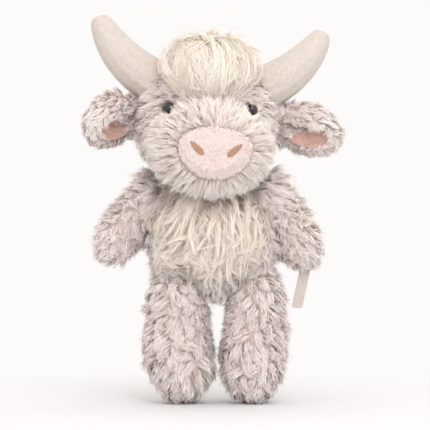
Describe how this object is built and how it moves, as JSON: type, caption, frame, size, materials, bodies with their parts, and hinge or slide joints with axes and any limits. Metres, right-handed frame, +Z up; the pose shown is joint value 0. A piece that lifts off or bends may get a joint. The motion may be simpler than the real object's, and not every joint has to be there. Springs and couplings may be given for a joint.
{
  "type": "plush cow",
  "caption": "Standing stuffed toy cow of long-pile fabric with a wide muzzle, curved velour horns, cupped ears, a shaggy forelock and chest, hanging arms and round blunt feet.",
  "frame": {"origin": "on the floor, below the middle of the toy's overall width and depth", "axes": "+Z up, -Y towards the front of the toy, +X towards the right of a viewer who faces it"},
  "size_m": [0.2152, 0.1428, 0.3313],
  "materials": {
    "body_fur": "long pile",
    "muzzle_fur": "long pile",
    "cream_pile": "very long pile",
    "nose_velour": "short pile",
    "nostril_thread": "satin stitch",
    "horn_velour": "short pile",
    "ear_velour": "short pile",
    "eye_plastic": "glossy",
    "washer_plastic": "plain",
    "filling_fibre": "loose fibre",
    "tag_ribbon": "woven"
  },
  "bodies": {
    "torso": {"torso_cover": "body_fur", "torso_filling": "filling_fibre", "chest_pile_patch": "cream_pile"},
    "head": {"head_cover": "body_fur", "head_filling": "filling_fibre", "muzzle_cover": "muzzle_fur", "nose_patch": "nose_velour", "forelock_pile_patch": "cream_pile", "nostril_left": "nostril_thread", "eye_left": "eye_plastic", "eye_washer_left": "washer_plastic", "horn_cover_left": "horn_velour", "horn_filling_left": "filling_fibre", "nostril_right": "nostril_thread", "eye_right": "eye_plastic", "eye_washer_right": "washer_plastic", "horn_cover_right": "horn_velour", "horn_filling_right": "filling_fibre"},
    "ear_left": {"ear_cover_left": "body_fur", "ear_lining_left": "ear_velour"},
    "ear_right": {"ear_cover_right": "body_fur", "ear_lining_right": "ear_velour"},
    "arm_left": {"arm_cover_left": "body_fur", "arm_filling_left": "filling_fibre"},
    "arm_right": {"arm_cover_right": "body_fur", "arm_filling_right": "filling_fibre"},
    "leg_left": {"leg_cover_left": "body_fur", "leg_filling_left": "filling_fibre"},
    "leg_right": {"leg_cover_right": "body_fur", "leg_filling_right": "filling_fibre"},
    "tail": {"tail": "body_fur", "tail_tuft": "cream_pile"},
    "tag": {"tag": "tag_ribbon"}
  },
  "joints": [
    {"name": "neck_nod", "type": "hinge", "parent": "torso", "child": "head", "pos_m": [0.0006, 0.01501, 0.165], "axis": [-1, 0, 0], "range_deg": [-8, 25]},
    {"name": "shoulder_left", "type": "hinge", "parent": "torso", "child": "arm_left", "pos_m": [-0.0504, 0.01501, 0.1765], "axis": [-1, 0, 0], "range_deg": [-40, 90]},
    {"name": "shoulder_right", "type": "hinge", "parent": "torso", "child": "arm_right", "pos_m": [0.0456, 0.01501, 0.1765], "axis": [-1, 0, 0], "range_deg": [-40, 90]},
    {"name": "hip_left", "type": "hinge", "parent": "torso", "child": "leg_left", "pos_m": [-0.0299, 0.01501, 0.092], "axis": [-1, 0, 0], "range_deg": [-10, 85]},
    {"name": "hip_right", "type": "hinge", "parent": "torso", "child": "leg_right", "pos_m": [0.0351, 0.01501, 0.092], "axis": [-1, 0, 0], "range_deg": [-10, 85]},
    {"name": "ear_fold_left", "type": "hinge", "parent": "head", "child": "ear_left", "pos_m": [-0.07164, 0.00742, 0.24458], "axis": [-0.0094, -0.0713, 0.9974], "range_deg": [-40, 20]},
    {"name": "ear_fold_right", "type": "hinge", "parent": "head", "child": "ear_right", "pos_m": [0.05712, 0.02095, 0.23666], "axis": [-0.0003, -0.0149, -0.9999], "range_deg": [-25, 45]},
    {"name": "tail_swing", "type": "hinge", "parent": "torso", "child": "tail", "pos_m": [-0.0024, 0.05973, 0.142], "axis": [1, 0, 0], "range_deg": [0, 70]},
    {"name": "tag_swing", "type": "hinge", "parent": "arm_right", "child": "tag", "pos_m": [0.07796, 0.02001, 0.11391], "axis": [0.9101, 0.4052, -0.0872], "range_deg": [-25, 40]}
  ]
}
